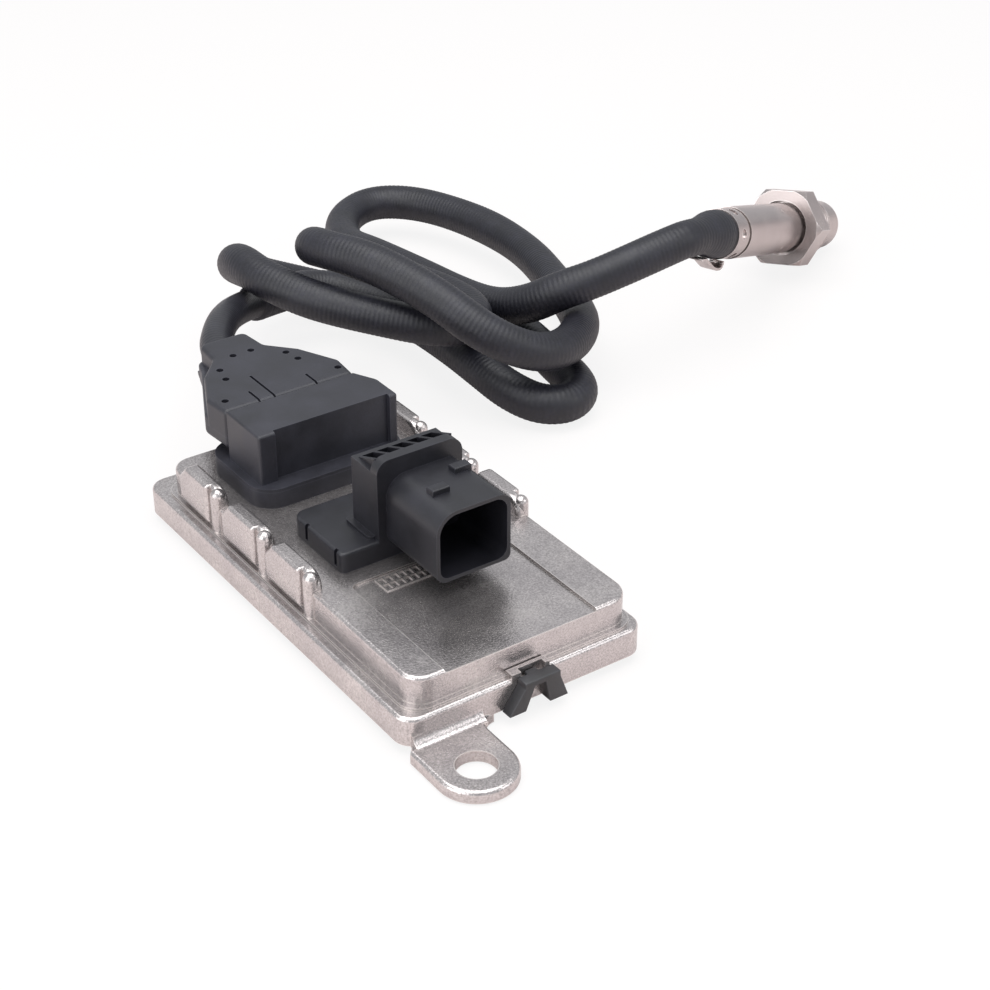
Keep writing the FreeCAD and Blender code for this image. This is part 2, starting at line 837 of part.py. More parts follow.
def make_lower_shell():
    shell = shell_slab(shell_foot, 0, shell_bottom, shell_split, plug_back, shell_front_radius)
    shell = shell.makeFillet(shell_bottom_round, top_edges(shell, shell_bottom))
    nose = shell_nose().common(layer(0, shell_split))
    return join([shell, nose]).cut(cable_room())


def make_upper_shell():
    foot = shell_slab(shell_foot, 0, shell_split, shell_foot_top, plug_back, shell_front_radius)
    foot = foot.makeFillet(shell_foot_round, top_edges(foot, shell_foot_top))
    shell = shell_slab(shell_outline, 0, shell_split, shell_top, plug_back, shell_front_radius)
    shell = shell.makeFillet(shell_top_round, top_edges(shell, shell_top))
    cuts = [cylinder(dimple_radius, dimple_depth + 1, V(x, y, shell_top - dimple_depth))
            for x, y in dimple_places]
    for x, y_end in latch_lines:
        cuts.append(box(x, x + latch_groove, plug_back - 1, y_end, shell_top - latch_depth, shell_top + 1))
    return join([foot, shell]).cut(cuts + [cable_room()])


def make_grommet():
    length = shell_end - grommet_front - grommet_recess
    return tube(grommet_radius, jacket_radius, length, V(0, grommet_front, shell_split), Y_AXIS)


def make_processor():
    half = processor_size / 2
    return box(-half, half, processor_y - half, processor_y + half, board_top, board_top + processor_height)


def make_drivers():
    half = driver_size / 2
    drivers = [box(x - half, x + half, y - half, y + half, board_top, board_top + driver_height)
               for x, y in driver_places]
    return Part.makeCompound(drivers)


def make_capacitors():
    return Part.makeCompound([cylinder(capacitor_radius, capacitor_height, V(x, y, board_top))
                              for x, y in capacitor_places])


def probe_point(along, across=0.0, up=0.0):
    return probe_place().multVec(V(along, across, up))


def probe_place():
    turn = FreeCAD.Rotation(probe_heading, probe_dip, 0)
    return FreeCAD.Placement(hose_end, turn)


def placed(shape):
    result = shape.copy()
    result.Placement = probe_place()
    return result


def cable_path():
    points = [V(*place) for place in cable_route]
    points.append(probe_point(-hose_straight_end))
    points.append(hose_end)
    return points


def bend(before, corner, after):
    # the arc that joins two straight runs: start, middle, end and radius
    first = before - corner
    second = after - corner
    reach = bend_share * min(first.Length, second.Length)
    first.normalize()
    second.normalize()
    half_turn = (math.pi - first.getAngle(second)) / 2
    radius = reach / math.tan(half_turn)
    inward = (first + second).normalize()
    middle = corner + inward * (radius / math.cos(half_turn) - radius)
    return corner + first * reach, middle, corner + second * reach, radius


def make_tube(points, radius, report):
    edges = []
    last = points[0]
    radii = []
    for index in range(1, len(points) - 1):
        start, middle, end, size = bend(points[index - 1], points[index], points[index + 1])
        edges.append(Part.LineSegment(last, start).toShape())
        edges.append(Part.Arc(start, middle, end).toShape())
        radii.append(round(size, 1))
        last = end
    edges.append(Part.LineSegment(last, points[-1]).toShape())
    path = Part.Wire(edges)
    section = Part.Wire(Part.Circle(points[0], points[1] - points[0], radius).toShape())
    swept = path.makePipeShell([section], True, False)
    print(report, "length", round(path.Length, 1), "bend radii", radii)
    return swept


def make_cable():
    points = cable_path()
    split = (points[jacket_runs - 1] + points[jacket_runs]) * 0.5
    jacket = make_tube(points[:jacket_runs] + [split], jacket_radius, "jacket")
    hose = make_tube([split] + points[jacket_runs:], hose_radius, "hose")
    return jacket, hose


def make_boot():
    profile = [V(-boot_length, hose_radius, 0), V(-boot_length, hose_radius + boot_lip, 0),
               V(-boot_land, boot_radius, 0), V(0, boot_radius, 0), V(0, hose_radius, 0),
               V(-boot_length, hose_radius, 0)]
    return placed(Part.Face(Part.makePolygon(profile)).revolve(V(0, 0, 0), X_AXIS, 360))


def make_band():
    band = tube(band_radius, sleeve_bore, band_length, V(0, 0, 0), X_AXIS)
    for index in range(band_dimple_count):
        angle = 360 / band_dimple_count * index + band_dimple_turn
        pit_floor = V(band_length / 2, 0, band_radius - band_dimple_depth)
        pit = cylinder(band_dimple_radius, band_dimple_depth + 1, pit_floor)
        pit.rotate(V(0, 0, 0), X_AXIS, angle)
        band = band.cut(pit)
    return placed(band)


def make_hose_clip():
    # strap below the hose end: a foot on the sleeve and a bar that rises back to the hose
    corners = [(along, down, 0) for along, down in strap_outline]
    face = corner_outline(corners, lambda p: V(p.x, -strap_width / 2, p.y))
    strap = face.extrude(V(0, strap_width, 0))
    return placed(strap.cut(cylinder(sleeve_radius, collar_start, V(0, 0, 0), X_AXIS)))


def make_sleeve():
    profile = [V(sleeve_start, sleeve_bore, 0), V(sleeve_start, sleeve_radius, 0),
               V(collar_start, sleeve_radius, 0), V(collar_start, collar_radius, 0),
               V(collar_start + collar_length, collar_radius, 0),
               V(collar_start + collar_length, collar_bore, 0), V(bushing_end, collar_bore, 0),
               V(bushing_end, sleeve_bore, 0), V(sleeve_start, sleeve_bore, 0)]
    return placed(Part.Face(Part.makePolygon(profile)).revolve(V(0, 0, 0), X_AXIS, 360))


def make_probe_plug():
    core = cylinder(sleeve_bore, plug_length, V(0, 0, 0), X_AXIS)
    return placed(core.cut(element_bar()))


def element_bar():
    half = element_width / 2
    return box(element_start, element_end, -half, half, -element_thickness / 2, element_thickness / 2)


def make_bushing():
    core = cylinder(sleeve_bore, bushing_end - bushing_start, V(bushing_start, 0, 0), X_AXIS)
    return placed(core.cut(element_bar()))


def make_protection_tube():
    start = collar_start + collar_length
    outer = cylinder(tip_radius, tip_length, V(start, 0, 0), X_AXIS)
    rim = [edge for edge in outer.Edges if edge.BoundBox.XMin > start + tip_length - 0.01]
    outer = outer.makeFillet(tip_round, rim)
    inner_length = tip_length - tip_wall
    inner = cylinder(tip_radius - tip_wall, inner_length, V(start, 0, 0), X_AXIS)
    rim = [edge for edge in inner.Edges if edge.BoundBox.XMin > start + inner_length - 0.01]
    inner = inner.makeFillet(tip_round - tip_wall, rim)
    vent = cylinder(tip_vent_radius, tip_wall + 2, V(start + inner_length - 1, 0, 0), X_AXIS)
    return placed(outer.cut([inner, vent]))


def make_union_nut():
    corner = nut_across_flats / 2 / math.cos(math.pi / 6)
    angles = [math.radians(nut_turn + 60 * index) for index in range(7)]
    ring = [V(nut_start, corner * math.cos(angle), corner * math.sin(angle)) for angle in angles[:6]]
    hexagon = Part.Face(Part.makePolygon(ring + [ring[0]])).extrude(V(nut_hex_length, 0, 0))
    wide = corner + nut_chamfer_reach
    chamfer = Part.makeCone(corner - nut_chamfer_inset, wide, nut_chamfer_length, V(nut_start, 0, 0), X_AXIS)
    beyond = cylinder(wide, nut_hex_length, V(nut_start + nut_chamfer_length, 0, 0), X_AXIS)
    hexagon = hexagon.common(chamfer.fuse(beyond))
    skirt_end = collar_start - nut_gap
    skirt = cylinder(thread_radius, skirt_end - nut_start - 1, V(nut_start + 1, 0, 0), X_AXIS)
    body = hexagon.fuse(skirt)
    bore = cylinder(sleeve_radius + nut_clearance, skirt_end - nut_start + 2, V(nut_start - 1, 0, 0), X_AXIS)
    relief = cylinder(nut_relief_radius, nut_relief_depth, V(nut_start, 0, 0), X_AXIS)
    return placed(body.cut([bore, relief]).removeSplitter())


jacket_shape, hose_shape = make_cable()
nodes = {
    "housing": make_housing(),
    "base_cover": make_base_cover(),
    "housing_seal": bead_ring(flange_bottom, flange_bottom + bead_depth),
    "edge_clip": make_edge_clip(),
    "circuit_board": make_board(),
    "board_screws": make_board_screws(),
    "processor_chip": make_processor(),
    "driver_chips": make_drivers(),
    "storage_capacitors": make_capacitors(),
    "header_blades": make_blades(),
    "plug_header": make_header(make_blades()),
    "sensor_socket": make_socket(),
    "socket_pins": make_contact_pins(),
    "sensor_plug": make_plug(),
    "plug_contacts": make_contact_sleeves(),
    "cable_cover_lower": make_lower_shell(),
    "cable_cover_upper": make_upper_shell(),
    "cable_grommet": make_grommet(),
    "cable_jacket": jacket_shape,
    "protective_hose": hose_shape,
    "hose_end_boot": make_boot(),
    "crimp_band": make_band(),
    "hose_clip": make_hose_clip(),
    "probe_sleeve": make_sleeve(),
    "probe_plug": make_probe_plug(),
    "union_nut": make_union_nut(),
    "protection_tube": make_protection_tube(),
    "sensing_element": placed(element_bar()),
    "element_bushing": make_bushing(),
}
for name, shape in nodes.items():
    save(name, shape)
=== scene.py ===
import bpy
import bmesh
import math
import json
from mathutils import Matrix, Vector


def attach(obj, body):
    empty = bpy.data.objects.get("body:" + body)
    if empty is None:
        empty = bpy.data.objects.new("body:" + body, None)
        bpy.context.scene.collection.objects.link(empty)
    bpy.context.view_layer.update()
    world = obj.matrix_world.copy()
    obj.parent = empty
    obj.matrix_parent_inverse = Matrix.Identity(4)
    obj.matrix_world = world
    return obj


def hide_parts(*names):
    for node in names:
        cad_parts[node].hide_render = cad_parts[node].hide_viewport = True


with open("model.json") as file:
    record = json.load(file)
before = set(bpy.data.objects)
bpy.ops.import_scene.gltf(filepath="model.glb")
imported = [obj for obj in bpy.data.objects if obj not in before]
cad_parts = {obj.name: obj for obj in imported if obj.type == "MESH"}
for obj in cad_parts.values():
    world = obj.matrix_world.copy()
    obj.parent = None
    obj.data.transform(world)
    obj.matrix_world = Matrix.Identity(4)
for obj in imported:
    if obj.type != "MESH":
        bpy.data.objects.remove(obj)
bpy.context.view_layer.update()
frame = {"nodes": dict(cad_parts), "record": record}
nodes = frame["nodes"]
MM = 0.001
scene = bpy.context.scene

# Where the probe starts and which way it points
hose_end = Vector((145.4, 53.3, 32.0)) * MM
heading, dip = math.radians(23.8), math.radians(18.5)
probe_axis = Vector((math.cos(dip) * math.cos(heading), math.cos(dip) * math.sin(heading),
                     -math.sin(dip)))
probe_side = Vector((-math.sin(heading), math.cos(heading), 0.0))
probe_up = probe_axis.cross(probe_side)

# The union nut's thread in millimetres; its start is measured from the hose's end along the probe.
# The pitch is a guess, and the relief is shallower than a real thread's, because the photograph
# shows no clear thread.
thread_start = 58.2
thread_pitch = 1.5
thread_depth = 0.45


# Colours are written as screen hex values and turned linear here
def colour(code):
    parts = [int(code[i:i + 2], 16) / 255 for i in (1, 3, 5)]
    linear = [p / 12.92 if p <= 0.04045 else ((p + 0.055) / 1.055) ** 2.4 for p in parts]
    return (*linear, 1.0)


def add(tree, kind, settings=None, links=None):
    """Adds one node with its settings, a number key being an input's index, and its links."""
    made = tree.nodes.new("ShaderNode" + kind)
    for name, value in (settings or {}).items():
        if name == "stops":
            ramp = made.color_ramp.elements
            while len(ramp) < len(value):
                ramp.new(0.5)
            for element, (position, shade) in zip(ramp, value):
                element.position, element.color = position, shade
        elif isinstance(name, int) or name in made.inputs:
            made.inputs[name].default_value = value
        else:
            setattr(made, name, value)
    for name, source in (links or {}).items():
        tree.links.new(source, made.inputs[name])
    return made


def grey(value):
    return (value, value, value, 1.0)


def blank(name, metallic, specular=0.5):
    material = bpy.data.materials.new(name)
    material.use_nodes = True
    shader = material.node_tree.nodes["Principled BSDF"]
    shader.inputs["Metallic"].default_value = metallic
    shader.inputs["Specular IOR Level"].default_value = specular
    return material, material.node_tree, shader


def edge_mask(tree, width_mm):
    """1 on convex and concave edges, 0 on open faces."""
    soft = add(tree, "Bevel", {"samples": 6, "Radius": width_mm * MM})
    flat = add(tree, "NewGeometry")
    turn = add(tree, "VectorMath", {"operation": "DOT_PRODUCT"},
               {0: soft.outputs["Normal"], 1: flat.outputs["True Normal"]})
    edge = add(tree, "MapRange", {"From Min": 0.999, "From Max": 0.93}, {"Value": turn.outputs["Value"]})
    return edge.outputs["Result"]


def die_cast_aluminium():
    # bare AlSi alloy from a steel die: metal with a frosted skin, cloudy where the melt cooled,
    # and a painted highlight: a lighter colour on the edges, which are also made glossier
    material, tree, shader = blank("die_cast_aluminium", 0.9)
    place = add(tree, "TexCoord").outputs["Object"]
    cloud = add(tree, "TexNoise", {"Scale": 1 / (13 * MM), "Detail": 4.0, "Roughness": 0.62},
                {"Vector": place})
    # the skin's grain is about 0.2 mm and is drawn at 0.45 mm so that it shows
    skin = add(tree, "TexNoise", {"Scale": 1 / (0.45 * MM), "Detail": 2.0, "Roughness": 0.6},
               {"Vector": place})
    # flow and draw marks run up the side walls
    drawn = add(tree, "Mapping", {"Scale": (1.0, 1.0, 0.35)}, {"Vector": place})
    flow = add(tree, "TexNoise", {"Scale": 1 / (1.1 * MM), "Detail": 3.0, "Roughness": 0.6},
               {"Vector": drawn.outputs["Vector"]})
    shades = [(0.3, colour("#B5AFAF")), (0.5, colour("#BFB9B8")), (0.72, colour("#C9C3C1"))]
    tint = add(tree, "ValToRGB", {"stops": shades}, {"Fac": cloud.outputs["Fac"]})
    speck = add(tree, "ValToRGB", {"stops": [(0.3, grey(0.68)), (0.66, grey(1.12))]},
                {"Fac": skin.outputs["Fac"]})
    marks = add(tree, "ValToRGB", {"stops": [(0.32, grey(0.94)), (0.66, grey(1.03))]},
                {"Fac": flow.outputs["Fac"]})
    base = add(tree, "Mix", {"data_type": "RGBA", "blend_type": "MULTIPLY", "Factor": 1.0},
               {6: tint.outputs["Color"], 7: speck.outputs["Color"]})
    base = add(tree, "Mix", {"data_type": "RGBA", "blend_type": "MULTIPLY", "Factor": 1.0},
               {6: base.outputs[2], 7: marks.outputs["Color"]})
    # painted highlight: every edge is painted the lighter #D8D2CF and given a lower roughness
    painted_edge_highlight = edge_mask(tree, 0.5)
    base = add(tree, "Mix", {"data_type": "RGBA", 7: colour("#D8D2CF")}, {"Factor": painted_edge_highlight, 6: base.outputs[2]})
    matt = add(tree, "MapRange", {"From Min": 0.3, "From Max": 0.7, "To Min": 0.2, "To Max": 0.3},
               {"Value": cloud.outputs["Fac"]})
    matt = add(tree, "Mix", {"data_type": "FLOAT", 3: 0.3}, {0: painted_edge_highlight, 2: matt.outputs["Result"]})
    relief = add(tree, "Bump", {"Strength": 0.9, "Distance": 0.07 * MM}, {"Height": skin.outputs["Fac"]})
    tree.links.new(base.outputs[2], shader.inputs["Base Color"])
    tree.links.new(matt.outputs[0], shader.inputs["Roughness"])
    tree.links.new(relief.outputs["Normal"], shader.inputs["Normal"])
    return material


def moulded(name, shades, edge, gloss, grain_mm=0.4, depth_mm=0.012, blotch_mm=9.0, edge_highlight_share=0.35,
            metallic=0.0):
    # moulded or pressed surface: faint clouding, a fine eroded grain and slightly lighter edges as a painted
    # highlight
    material, tree, shader = blank(name, metallic)
    place = add(tree, "TexCoord").outputs["Object"]
    cloud = add(tree, "TexNoise", {"Scale": 1 / (blotch_mm * MM), "Detail": 4.0, "Roughness": 0.6},
                {"Vector": place})
    grain = add(tree, "TexNoise", {"Scale": 1 / (grain_mm * MM), "Detail": 2.0, "Roughness": 0.5},
                {"Vector": place})
    dark, middle, pale = [colour(shade) for shade in shades]
    tint = add(tree, "ValToRGB", {"stops": [(0.32, dark), (0.5, middle), (0.7, pale)]},
               {"Fac": cloud.outputs["Fac"]})
    speck = add(tree, "ValToRGB", {"stops": [(0.3, grey(0.86)), (0.68, grey(1.06))]},
                {"Fac": grain.outputs["Fac"]})
    base = add(tree, "Mix", {"data_type": "RGBA", "blend_type": "MULTIPLY", "Factor": 1.0},
               {6: tint.outputs["Color"], 7: speck.outputs["Color"]})
    # painted highlight: the edges take the lighter edge colour at this share
    painted_rim_highlight = add(tree, "Math", {"operation": "MULTIPLY", 1: edge_highlight_share}, {0: edge_mask(tree, 0.35)})
    base = add(tree, "Mix", {"data_type": "RGBA", 7: colour(edge)},
               {"Factor": painted_rim_highlight.outputs["Value"], 6: base.outputs[2]})
    matt = add(tree, "MapRange", {"From Min": 0.3, "From Max": 0.7, "To Min": gloss[0], "To Max": gloss[1]},
               {"Value": cloud.outputs["Fac"]})
    relief = add(tree, "Bump", {"Strength": 0.9, "Distance": depth_mm * MM}, {"Height": grain.outputs["Fac"]})
    tree.links.new(base.outputs[2], shader.inputs["Base Color"])
    tree.links.new(matt.outputs["Result"], shader.inputs["Roughness"])
    tree.links.new(relief.outputs["Normal"], shader.inputs["Normal"])
    return material


def cut_thread(tree, place, under):
    """The union nut's thread as relief: one ridge per pitch round the axis, beyond the hexagon."""
    local = add(tree, "VectorMath", {"operation": "SUBTRACT", 1: tuple(hose_end)}, {0: place})
    local = local.outputs["Vector"]
    side = add(tree, "VectorMath", {"operation": "DOT_PRODUCT", 1: tuple(probe_side)}, {0: local})
    up = add(tree, "VectorMath", {"operation": "DOT_PRODUCT", 1: tuple(probe_up)}, {0: local})
    reach = add(tree, "VectorMath", {"operation": "DOT_PRODUCT", 1: tuple(probe_axis)}, {0: local})
    angle = add(tree, "Math", {"operation": "ARCTAN2"},
                {0: side.outputs["Value"], 1: up.outputs["Value"]})
    turns = add(tree, "Math", {"operation": "DIVIDE", 1: 2 * math.pi}, {0: angle.outputs["Value"]})
    helix = add(tree, "Math", {"operation": "MULTIPLY_ADD", 1: 1 / (thread_pitch * MM)},
                {0: reach.outputs["Value"], 2: turns.outputs["Value"]})
    ridge = add(tree, "Math", {"operation": "PINGPONG", 1: 0.5}, {0: helix.outputs["Value"]})
    beyond = add(tree, "Math", {"operation": "GREATER_THAN", 1: thread_start * MM},
                 {0: reach.outputs["Value"]})
    height = add(tree, "Math", {"operation": "MULTIPLY"},
                 {0: ridge.outputs["Value"], 1: beyond.outputs["Value"]})
    return add(tree, "Bump", {"Strength": 1.0, "Distance": 2 * thread_depth * MM},
               {"Height": height.outputs["Value"], "Normal": under})


def turned_stainless(name, threaded=False):
    # stainless steel from a lathe: satin rings round the probe's axis, soft broad gloss and
    # faint heat-grey patches
    material, tree, shader = blank(name, 0.95)
    place = add(tree, "TexCoord").outputs["Object"]
    along = add(tree, "VectorMath", {"operation": "DOT_PRODUCT", 1: tuple(probe_axis)}, {0: place})
    # tool marks are about 0.1 mm apart and are drawn at 0.3 mm so that they show
    rings = add(tree, "TexNoise", {"noise_dimensions": "1D", "Scale": 1 / (0.3 * MM), "Detail": 2.0},
                {"W": along.outputs["Value"]})
    cloud = add(tree, "TexNoise", {"Scale": 1 / (8 * MM), "Detail": 3.0, "Roughness": 0.55},
                {"Vector": place})
    shades = [(0.32, colour("#A79D9B")), (0.5, colour("#AEA4A2")), (0.7, colour("#B5ABA8"))]
    tint = add(tree, "ValToRGB", {"stops": shades}, {"Fac": cloud.outputs["Fac"]})
    marks = add(tree, "ValToRGB", {"stops": [(0.3, grey(0.93)), (0.7, grey(1.03))]},
                {"Fac": rings.outputs["Fac"]})
    base = add(tree, "Mix", {"data_type": "RGBA", "blend_type": "MULTIPLY", "Factor": 1.0},
               {6: tint.outputs["Color"], 7: marks.outputs["Color"]})
    # painted highlight: every edge is painted the lighter #E2DCDA
    painted_edge_highlight = edge_mask(tree, 0.3)
    base = add(tree, "Mix", {"data_type": "RGBA", 7: colour("#E2DCDA")}, {"Factor": painted_edge_highlight, 6: base.outputs[2]})
    matt = add(tree, "MapRange", {"From Min": 0.3, "From Max": 0.7, "To Min": 0.22, "To Max": 0.28},
               {"Value": cloud.outputs["Fac"]})
    relief = add(tree, "Bump", {"Strength": 0.5, "Distance": 0.006 * MM}, {"Height": rings.outputs["Fac"]})
    if threaded:
        relief = cut_thread(tree, place, relief.outputs["Normal"])
    tree.links.new(base.outputs[2], shader.inputs["Base Color"])
    tree.links.new(matt.outputs["Result"], shader.inputs["Roughness"])
    tree.links.new(relief.outputs["Normal"], shader.inputs["Normal"])
    return material


def corrugated_hose(name, shades, gloss):
    # nylon hose with a knitted sleeve: satin black, with random paler and darker mottling
    material, tree, shader = blank(name, 0.0, 0.5)
    place = add(tree, "TexCoord").outputs["Object"]
    cloud = add(tree, "TexNoise", {"Scale": 1 / (6 * MM), "Detail": 4.0, "Roughness": 0.65},
                {"Vector": place})
    knit = add(tree, "TexNoise", {"Scale": 1 / (0.8 * MM), "Detail": 2.0, "Roughness": 0.55},
               {"Vector": place})
    dark, middle, pale = [colour(shade) for shade in shades]
    tint = add(tree, "ValToRGB", {"stops": [(0.3, dark), (0.5, middle), (0.72, pale)]},
               {"Fac": cloud.outputs["Fac"]})
    speck = add(tree, "ValToRGB", {"stops": [(0.3, grey(0.72)), (0.7, grey(1.15))]},
                {"Fac": knit.outputs["Fac"]})
    base = add(tree, "Mix", {"data_type": "RGBA", "blend_type": "MULTIPLY", "Factor": 1.0},
               {6: tint.outputs["Color"], 7: speck.outputs["Color"]})
    matt = add(tree, "MapRange", {"From Min": 0.3, "From Max": 0.7, "To Min": gloss[0], "To Max": gloss[1]},
               {"Value": knit.outputs["Fac"]})
    relief = add(tree, "Bump", {"Strength": 0.8, "Distance": 0.03 * MM}, {"Height": knit.outputs["Fac"]})
    tree.links.new(base.outputs[2], shader.inputs["Base Color"])
    tree.links.new(matt.outputs["Result"], shader.inputs["Roughness"])
    tree.links.new(relief.outputs["Normal"], shader.inputs["Normal"])
    return material


jacket_finish = corrugated_hose("cable_jacket_rubber", ("#1A1A20", "#202026", "#27272E"), (0.36, 0.48))
hose_finish = corrugated_hose("nylon_hose", ("#0F0F17", "#14141D", "#1C1C26"), (0.44, 0.58))
# in each moulded finish the paler edge colour and its share paint a highlight on the edges
finishes = {
    "cast_aluminium": die_cast_aluminium(),
    "cover_sheet": moulded("rolled_aluminium_sheet", ("#8E8A88", "#989492", "#A29E9C"), "#C8C4C2",
                           (0.32, 0.42), 0.5, 0.006, 18.0, 0.5, 0.85),
    "header_plastic": moulded("glass_filled_nylon", ("#15151A", "#19191F", "#1F1F26"), "#3E3E46",
                              (0.38, 0.5)),
    "connector_plastic": moulded("satin_nylon", ("#1F1F25", "#25252C", "#2C2C34"), "#4A4A54",
                                 (0.42, 0.52)),
    "seal_rubber": moulded("black_silicone", ("#1D1D1F", "#232326", "#2A2A2D"), "#3A3A3D",
                           (0.55, 0.68)),
    "cable_rubber": jacket_finish,
    "hose_rubber": hose_finish,
    "probe_steel": turned_stainless("turned_stainless_steel"),
    "black_clip_steel": moulded("blackened_spring_steel", ("#1D1D1F", "#232325", "#2C2C2F"), "#5C5C60",
                                (0.34, 0.48)),
    "board_laminate": moulded("solder_mask_laminate", ("#1F4A2A", "#255532", "#2B5F39"), "#4A7A55",
                              (0.4, 0.5)),
    "screw_steel": moulded("zinc_plated_steel", ("#9C9B97", "#A8A7A3", "#B4B3AF"), "#D0CFCB",
                           (0.28, 0.4), 0.3, 0.006, 4.0, 0.5, 0.9),
    "chip_plastic": moulded("epoxy_chip_body", ("#18181A", "#1E1E20", "#242427"), "#3A3A3C",
                            (0.5, 0.6), 0.25),
    "capacitor_can": moulded("drawn_aluminium_can", ("#A2A3A6", "#AEAFB2", "#B9BABD"), "#D6D7DA",
                             (0.3, 0.4), 0.3, 0.006, 4.0, 0.5, 0.9),
    "contact_brass": moulded("tinned_brass", ("#A7A08E", "#B5AE9C", "#C2BBAA"), "#DCD5C4",
                             (0.25, 0.35), 0.3, 0.004, 3.0, 0.5, 0.95),
    "plug_polymer": moulded("ptfe_plug", ("#D6D4CC", "#DFDDD6", "#E8E6E0"), "#F0EEEA", (0.4, 0.5)),
    "sensor_ceramic": moulded("zirconia_ceramic", ("#DCDAD4", "#E4E2DD", "#ECEAE6"), "#F2F0EC",
                              (0.5, 0.6)),
}
for part in frame["record"]["subparts"]:
    surface = nodes[part["node"]].data
    surface.materials.clear()
    surface.materials.append(finishes[part["material_slot"]])
nodes["union_nut"].data.materials[0] = turned_stainless("threaded_stainless_steel", threaded=True)


# The cable's route in millimetres, the same places as in the part's source
route = [
    (0.0, 62.0, 26.75), (0.0, 77.0, 26.75), (7.5, 88.5, 27.4), (15.5, 98.5, 25.2), (25.5, 108.5, 21.0),
    (37.0, 117.0, 17.0), (47.5, 120.2, 15.5), (57.0, 119.0, 14.0), (63.8, 111.0, 12.3),
    (68.0, 99.5, 11.5), (69.0, 86.0, 11.5), (69.0, 72.0, 11.5), (69.0, 57.6, 10.4), (70.4, 46.8, 8.3),
    (74.4, 38.9, 6.5), (81.2, 36.0, 5.8), (87.4, 38.5, 5.7), (91.2, 45.2, 5.6), (92.4, 57.0, 6.3),
    (93.2, 69.0, 8.4), (92.0, 81.0, 10.0), (91.0, 93.0, 8.3), (87.0, 105.0, 6.3), (78.0, 116.0, 5.6),
    (66.0, 125.7, 7.2), (53.5, 132.2, 11.5), (42.0, 131.8, 17.3), (32.4, 126.0, 25.0),
    (28.2, 114.6, 31.2), (28.2, 102.0, 31.2), (33.5, 90.0, 29.0), (39.5, 81.5, 27.5),
    (47.0, 73.0, 26.0), (55.5, 65.5, 24.2), (63.5, 61.5, 23.0), (70.5, 63.5, 22.3), (74.3, 70.0, 22.0),
    (73.8, 79.0, 22.1), (70.0, 88.5, 23.0), (64.5, 96.3, 25.5), (57.5, 101.5, 29.0),
    (48.4, 103.8, 34.2), (42.2, 99.6, 38.0), (41.8, 90.8, 40.2), (46.6, 80.2, 40.2), (51.3, 70.3, 38.0),
    (56.0, 58.0, 34.6), (60.5, 48.0, 29.4), (67.0, 41.5, 24.8), (76.0, 38.8, 21.0), (87.5, 43.0, 18.6),
    (99.5, 53.6, 16.5), (109.7, 71.0, 12.5), (118.0, 92.0, 10.2), (124.0, 113.0, 10.0),
    (124.5, 134.0, 10.3), (119.4, 153.4, 10.8), (112.4, 165.0, 10.9), (102.8, 170.0, 10.9),
    (92.2, 166.0, 10.4), (84.5, 156.0, 10.8), (78.4, 142.0, 13.0), (76.8, 124.0, 16.8),
    (78.8, 105.0, 17.9), (82.0, 87.5, 17.0), (85.0, 74.0, 17.8), (89.0, 64.0, 21.6), (94.5, 57.8, 26.6),
    (102.0, 53.2, 29.6), (112.0, 49.8, 33.0), (123.0, 47.8, 35.8),
]
straight_end = 16.0
control = [Vector(p) * MM for p in route] + [hose_end - probe_axis * straight_end * MM, hose_end]


def spline_points(points, resolution):
    """The places along one smooth line drawn by these points."""
    curve = bpy.data.curves.new("cable_line", "CURVE")
    curve.dimensions = "3D"
    line = curve.splines.new("NURBS")
    line.points.add(len(points) - 1)
    for place, point in zip(points, line.points):
        point.co = (*place, 1)
    line.order_u = 3
    line.use_endpoint_u = True
    line.resolution_u = resolution
    holder = bpy.data.objects.new("cable_line", curve)
    mesh = bpy.data.meshes.new_from_object(holder)
    places = [v.co.copy() for v in mesh.vertices]
    bpy.data.objects.remove(holder)
    return places


def lengths(points):
    """How far along the line each point lies."""
    total = [0.0]
    for first, second in zip(points, points[1:]):
        total.append(total[-1] + (second - first).length)
    return total


def sampled(points, total, stations):
    """The places at these distances along the line."""
    result, index = [], 0
    for s in stations:
        while index < len(total) - 2 and total[index + 1] < s:
            index += 1
        share = (s - total[index]) / max(total[index + 1] - total[index], 1e-9)
        result.append(points[index].lerp(points[index + 1], min(max(share, 0), 1)))
    return result


def tube_mesh(name, centres, radii, around, slots):
    """A closed tube through these centres; slots gives a material index for each ring."""
    made = bmesh.new()
    tangent = (centres[1] - centres[0]).normalized()
    side = tangent.orthogonal().normalized()
    rings = []
    for index, (centre, radius) in enumerate(zip(centres, radii)):
        ahead = centres[min(index + 1, len(centres) - 1)]
        behind = centres[max(index - 1, 0)]
        following = ahead - behind
        following = following.normalized() if following.length > 1e-9 else tangent
        side = tangent.rotation_difference(following) @ side
        side = (side - following * side.dot(following)).normalized()
        tangent = following
        other = tangent.cross(side)
        ring = []
        for step in range(around):
            angle = 2 * math.pi * step / around
            ring.append(made.verts.new(centre + (side * math.cos(angle) + other * math.sin(angle)) * radius))
        rings.append(ring)
    for index in range(len(rings) - 1):
        for step in range(around):
            after = (step + 1) % around
            face = made.faces.new((rings[index][step], rings[index][after],
                                   rings[index + 1][after], rings[index + 1][step]))
            face.smooth = True
            face.material_index = slots[index]
    made.faces.new(list(reversed(rings[0]))).material_index = slots[0]
    made.faces.new(rings[-1]).material_index = slots[-1]
    bmesh.ops.recalc_face_normals(made, faces=made.faces)
    mesh = bpy.data.meshes.new(name)
    made.to_mesh(mesh)
    made.free()
    obj = bpy.data.objects.new(name, mesh)
    scene.collection.objects.link(obj)
    return obj


